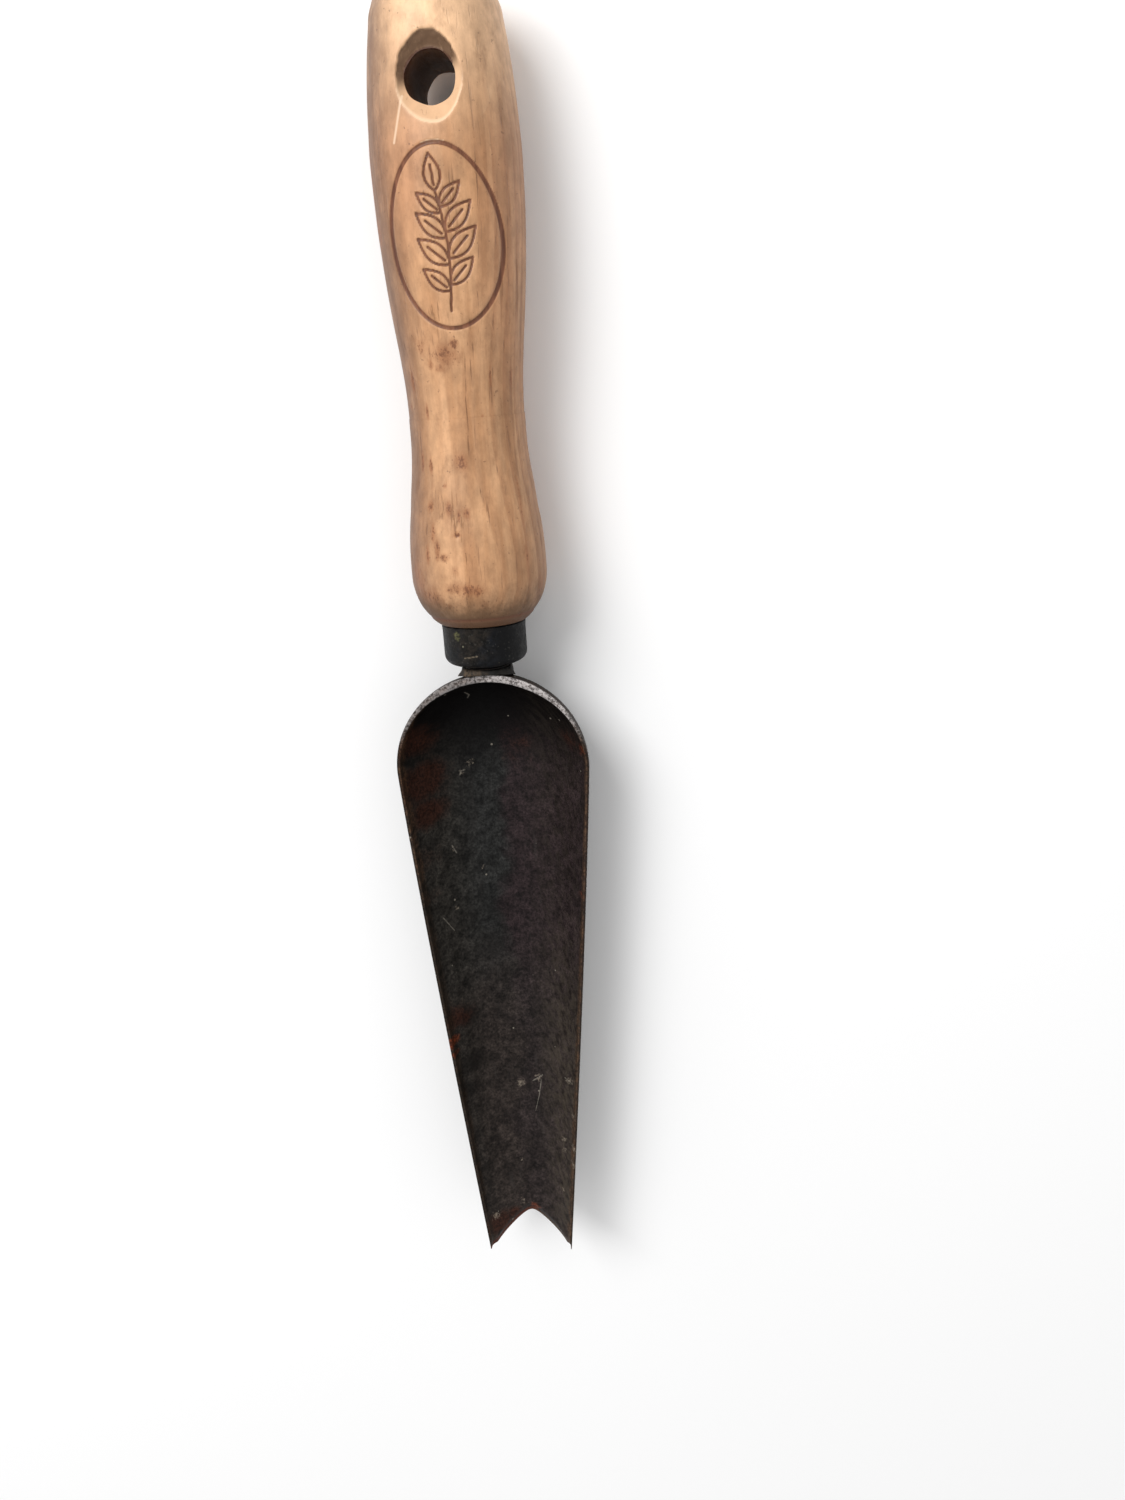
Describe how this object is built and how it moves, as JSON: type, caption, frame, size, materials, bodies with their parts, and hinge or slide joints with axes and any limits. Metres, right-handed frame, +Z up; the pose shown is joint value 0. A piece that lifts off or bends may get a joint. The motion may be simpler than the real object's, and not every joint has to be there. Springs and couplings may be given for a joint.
{
  "type": "garden dibber",
  "caption": "Hand dibber with a long scoop blade, notched at its tip, on a turned wooden handle with a hanging hole.",
  "frame": {"origin": "bottom centre of the tool's bounding box, on the surface that it lies on with the scoop opening up", "axes": "+Y along the tool from the blade's tips to the butt of the handle, +Z up out of the scoop's mouth, +X across the tool"},
  "size_m": [0.048, 0.317, 0.0336],
  "materials": {
    "ash_wood": "satin",
    "ferrule_steel": "satin",
    "tang_steel": "matte",
    "weld_bead": "matte",
    "blade_steel": "satin"
  },
  "bodies": {
    "root": {"handle": "ash_wood", "ferrule": "ferrule_steel", "tang": "tang_steel", "neck_weld": "weld_bead", "blade": "blade_steel"}
  },
  "joints": []
}
